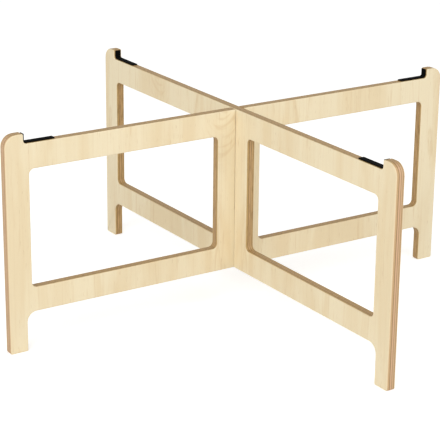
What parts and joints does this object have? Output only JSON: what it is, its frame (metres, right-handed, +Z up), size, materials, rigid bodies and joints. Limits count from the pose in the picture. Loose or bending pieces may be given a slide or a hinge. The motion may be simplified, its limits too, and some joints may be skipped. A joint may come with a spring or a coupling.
{
  "type": "cajon stand",
  "caption": "Low cross-shaped plywood stand of interlocking slotted frames, with padded notches at the arm tips that hold a box drum off the floor.",
  "frame": {"origin": "on the floor, under the centre of the cross joint", "axes": "+Z up; the lower panel runs along X and the upper panel along Y; the stand reads the same when it is turned half a turn about Z"},
  "size_m": [0.8, 0.8, 0.335],
  "materials": {
    "plywood": "pale birch-faced plywood under a thin satin lacquer, with bare brown ply edges",
    "cushion_strip": "matt black self-adhesive foam rubber"
  },
  "bodies": {
    "lower_frame": {"lower_panel": "plywood", "lower_strip_left": "cushion_strip", "lower_strip_right": "cushion_strip"},
    "upper_frame": {"upper_panel": "plywood", "upper_strip_front": "cushion_strip", "upper_strip_back": "cushion_strip"}
  },
  "joints": [
    {"name": "upper_frame_lift", "type": "slide", "parent": "lower_frame", "child": "upper_frame", "axis": [0, 0, 1], "range_m": [0, 0.26]}
  ]
}
